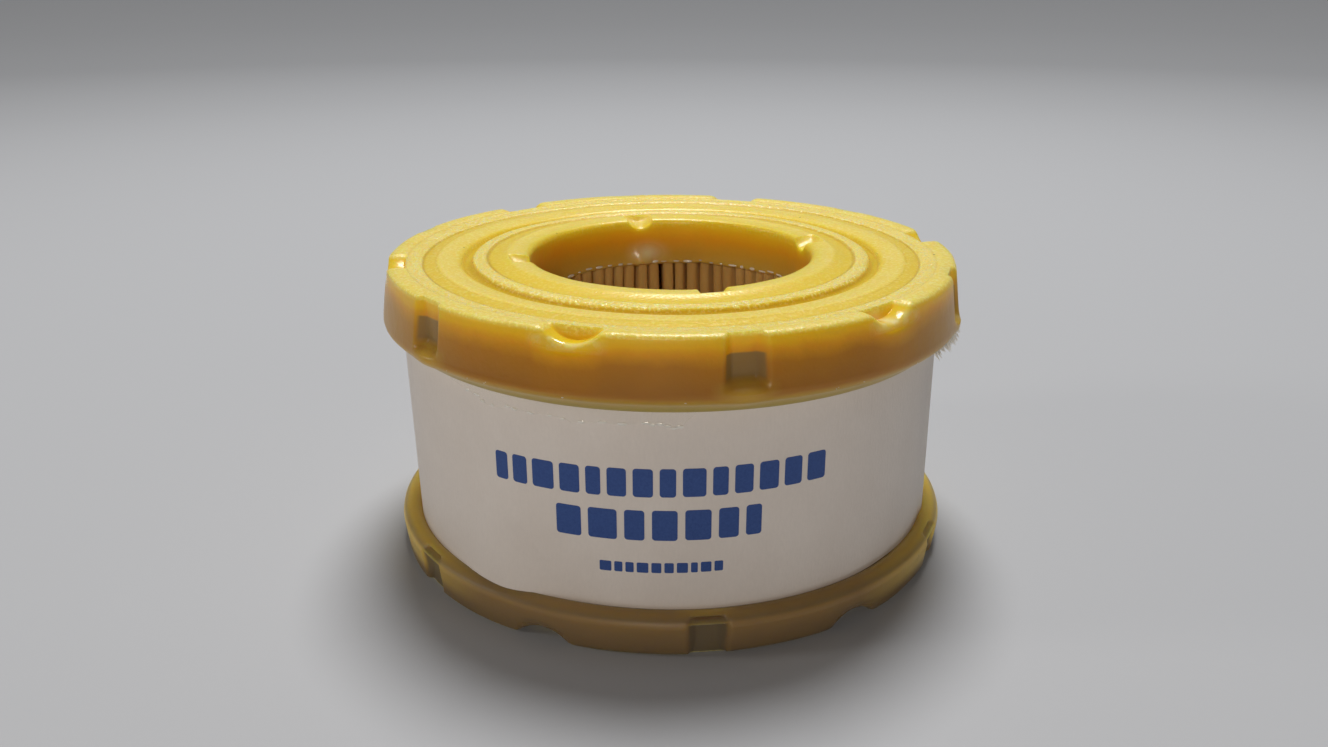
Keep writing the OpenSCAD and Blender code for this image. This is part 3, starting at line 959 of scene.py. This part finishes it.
# Each printed row: first angle, last angle, baseline height at both ends, block height, number of blocks
PRINT_ROWS = [
    (-34.5, 30.0, 25.4, 26.4, 4.6, 14),
    (-21.5, 17.0, 18.4, 19.0, 5.0, 7),
    (-13.2, 9.8, 13.0, 13.4, 1.7, 10),
]
INK_T = 0.03
# Space between two blocks, as a share of a usual block's width
PRINT_GAP = 0.32


def print_block(centre, half_angle, low, high, corner):
    """One rounded block that lies on the band."""
    half_width = math.radians(half_angle) * BAND_R
    round_end = half_width - corner * (1 - np.cos(np.linspace(0, math.pi / 2, 5)))
    across = np.unique(np.concatenate([np.linspace(-half_width, half_width, 7), round_end, -round_end]))
    past = np.clip(np.abs(across) - (half_width - corner), 0.0, corner)
    cut = corner - np.sqrt(np.clip(corner**2 - past**2, 0.0, None))
    sections = []
    for u, trim in zip(across, cut):
        angle = centre + math.degrees(u / BAND_R)
        height = np.linspace(low + trim, high - trim, 5)
        surface = band_radius(angle, height)
        sections.append(sheet_outline(angle, height, surface + INK_T, surface - INK_T))
    return np.array(sections)


def label_print():
    """Three rows of plain blocks where the real band carries its printing."""
    random = np.random.default_rng(3)
    vertices, faces, count = [], [], 0
    for first, last, low_first, low_last, height, blocks in PRINT_ROWS:
        widths = random.uniform(0.7, 1.3, blocks)
        unit = (last - first) / (widths.sum() + PRINT_GAP * (blocks - 1))
        at = first
        for width in widths * unit:
            centre = at + width / 2
            low = np.interp(centre, [first, last], [low_first, low_last])
            sections = print_block(centre, width / 2, low, low + height, min(0.5, 0.12 * height))
            stations, outline = sections.shape[:2]
            vertices.append(sections.reshape(-1, 3))
            faces += closed_sections(stations, outline, count)
            count += stations * outline
            at += width + PRINT_GAP * unit
    piece = new_piece("label_print_blocks", np.vstack(vertices), faces)
    dress(piece, blue_ink("print_ink"), 50.0)


def blobs(name, places, sizes):
    """Small smooth beads. Each size is its half extent along the wall, across it and up."""
    rings, around = 6, 10
    vertices, faces = [], []
    for (radius, angle, height), (along, out, tall) in zip(places, sizes):
        first = len(vertices)
        a = math.radians(angle)
        for i in range(1, rings):
            level = math.pi * i / rings
            for j in range(around):
                turn = 2 * math.pi * j / around
                side = along * math.sin(level) * math.cos(turn)
                far = radius + out * math.sin(level) * math.sin(turn)
                vertices.append((
                    far * math.sin(a) + side * math.cos(a), -far * math.cos(a) + side * math.sin(a),
                    height + tall * math.cos(level),
                ))
        faces += closed_sections(rings - 1, around, first)
    return new_piece(name, np.array(vertices), faces)


def film_foot(angle):
    """Height of the lower edge of the skin of compound on the band at the front left."""
    fade = smoothstep(-47.0, -34.0, angle) * smoothstep(5.0, 1.5, angle)
    return 39.3 - fade * (1.9 + ripple(angle, [(19, 0.20, 30), (41, 0.16, 70), (97, 0.10, 0)]))


def flash_film():
    """The thin skin of compound that ran down over the band."""
    sections = []
    for angle in np.arange(-46.0, 4.6, 0.5):
        foot = film_foot(angle)
        height = np.linspace(foot, 40.4, 9)
        swell = 0.08 * smoothstep(foot, foot + 1.0, height) + 0.015
        inner = band_radius(angle, height)
        sections.append(sheet_outline(angle, height, inner + swell, inner + 0.01))
    piece = strip_grid("casting_flash_film", np.array(sections))
    dress(piece, clear_flash("casting_flash", 0.07), 60.0)


# Angles of the glossy beads along the film's edge
FILM_BEADS = [
    -41, -38.5, -37, -34.5, -31, -29.5, -26, -22, -19.5, -16, -12, -8.5, -4.2, -3.1, -1.8, -0.5, 0.6, 1.7,
]


def film_beads():
    random = np.random.default_rng(8)
    places = [
        (band_radius(angle, 38.0) + 0.02, angle, film_foot(angle) + random.uniform(-0.1, 0.3))
        for angle in FILM_BEADS
    ]
    sizes = [(random.uniform(0.30, 0.75), 0.10, random.uniform(0.20, 0.30)) for _ in FILM_BEADS]
    beads = blobs("casting_flash_beads", places, sizes)
    # the beads' near-white colour is partly a painted glint
    dress(beads, clear_flash("flash_beads", 0.85, 1.0), 60.0)


def edge_beads():
    """Beads of compound along the lower edges of the upper cap, in the bore and outside."""
    random = np.random.default_rng(10)
    places, sizes = [], []
    for k in range(PLEATS):
        angle = 360.0 * k / PLEATS + random.uniform(-0.6, 0.6)
        places.append((BORE_R, angle, upper_bore_edge(angle) + random.uniform(0.0, 0.25)))
        sizes.append((random.uniform(0.25, 1.05), random.uniform(0.18, 0.36), random.uniform(0.10, 0.34)))
    for _ in range(44):
        angle = random.uniform(0.0, 360.0)
        places.append((50.72, angle, HEIGHT - UPPER_FILL + random.uniform(0.10, 0.45)))
        sizes.append((random.uniform(0.08, 0.20), random.uniform(0.05, 0.10), random.uniform(0.05, 0.08)))
    beads = blobs("casting_edge_beads", places, sizes)
    # the beads' near-white colour is partly a painted glint
    dress(beads, clear_flash("edge_beads", 0.9, 1.0), 60.0)


def flash_teeth():
    """Comb-like flash on the lower edge of the upper cap's wall, at the right. Each tooth is a pyramid."""
    random = np.random.default_rng(9)
    vertices, faces, count = [], [], 0
    for angle in np.arange(56.0, 98.0, 0.95):
        length = random.uniform(0.7, 1.7)
        half = random.uniform(0.22, 0.40)
        lean = random.uniform(-0.3, 0.3)
        root_z = HEIGHT - UPPER_FILL + random.uniform(-0.1, 0.15)
        for side in (-half, half):
            vertices.append(spots(50.55, angle + side, root_z + 0.14))
            vertices.append(spots(50.35, angle + side, root_z - 0.16))
        vertices.append(spots(50.75 + 0.45 * length, angle + lean, root_z - 0.85 * length))
        a, b, c, d, e = range(count, count + 5)
        faces += [(a, b, d, c), (a, c, e), (b, e, d), (a, e, b), (c, d, e)]
        count += 5
    piece = new_piece("casting_flash_teeth", np.array(vertices), faces)
    dress(piece, clear_flash("flash_teeth", 0.75), 20.0)


# ---------------------------------------------------------------- stage

def camera():
    data = bpy.data.cameras.new("camera")
    data.sensor_width = 36.0
    data.lens = 30.63
    data.clip_start = 0.005
    made = bpy.data.objects.new("camera", data)
    made.location = (0.0, -0.19747, 0.10075)
    made.rotation_euler = (math.radians(69.794), 0.0, math.radians(0.353))
    bpy.context.scene.collection.objects.link(made)
    bpy.context.scene.camera = made


def area_light(name, place, aim, size, watts, colour):
    data = bpy.data.lights.new(name, "AREA")
    data.shape = "DISK"
    data.size = size
    data.energy = watts
    data.color = colour
    made = bpy.data.objects.new(name, data)
    made.location = place
    made.rotation_euler = (Vector(aim) - Vector(place)).to_track_quat("-Z", "Y").to_euler()
    bpy.context.scene.collection.objects.link(made)


def studio_floor():
    """A plain round floor that rises gently far away, so that no dark horizon shows."""
    reach = np.array([20.0, 700.0, 1000.0, 1150.0, 1300.0, 1450.0, 1600.0, 1750.0, 1900.0])[None, :]
    rise = 0.00045 * np.clip(reach - 900.0, 0.0, None) ** 2
    rings = spots(reach, np.arange(0.0, 360.0, 3.0)[:, None], rise)
    stations, steps = rings.shape[:2]
    faces = [face[::-1] for face in quad_faces(stations, steps, True, False)]
    faces.append(tuple(range(0, stations * steps, steps)))
    floor = new_piece("floor", rings, faces)
    floor.data.shade_smooth()
    s = Shader("studio_floor")
    s.set(base_color=rgb(0.46, 0.475, 0.505), roughness=0.8, specular_ior_level=0.2)
    floor.data.materials.append(s.material)


def studio_light():
    world = bpy.data.worlds.new("studio")
    world.use_nodes = True
    world.node_tree.nodes["Background"].inputs["Color"].default_value = rgb(0.86, 0.84, 0.82)
    world.node_tree.nodes["Background"].inputs["Strength"].default_value = 0.065
    bpy.context.scene.world = world
    area_light("key", (0.05, 0.42, 1.20), (0, 0, 0.04), 0.50, 15.0, (1.0, 0.98, 0.95))
    area_light("fill", (-0.10, -1.00, 0.40), (0, 0, 0.03), 0.18, 2.15, (1.0, 0.90, 0.80))
    area_light("side", (-0.95, -0.10, 0.40), (0, 0, 0.03), 0.18, 1.2, (1.0, 0.95, 0.88))
    bpy.context.scene.view_settings.view_transform = "Standard"


camera()
studio_floor()
studio_light()
end_caps()
band_sheet()
overlap_glue()
pleated_paper()
label_print()
flash_film()
film_beads()
flash_teeth()
edge_beads()
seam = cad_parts["paper_seam_glue"]
seam.data.materials.clear()
seam.data.materials.append(dried_glue("seam_glue"))
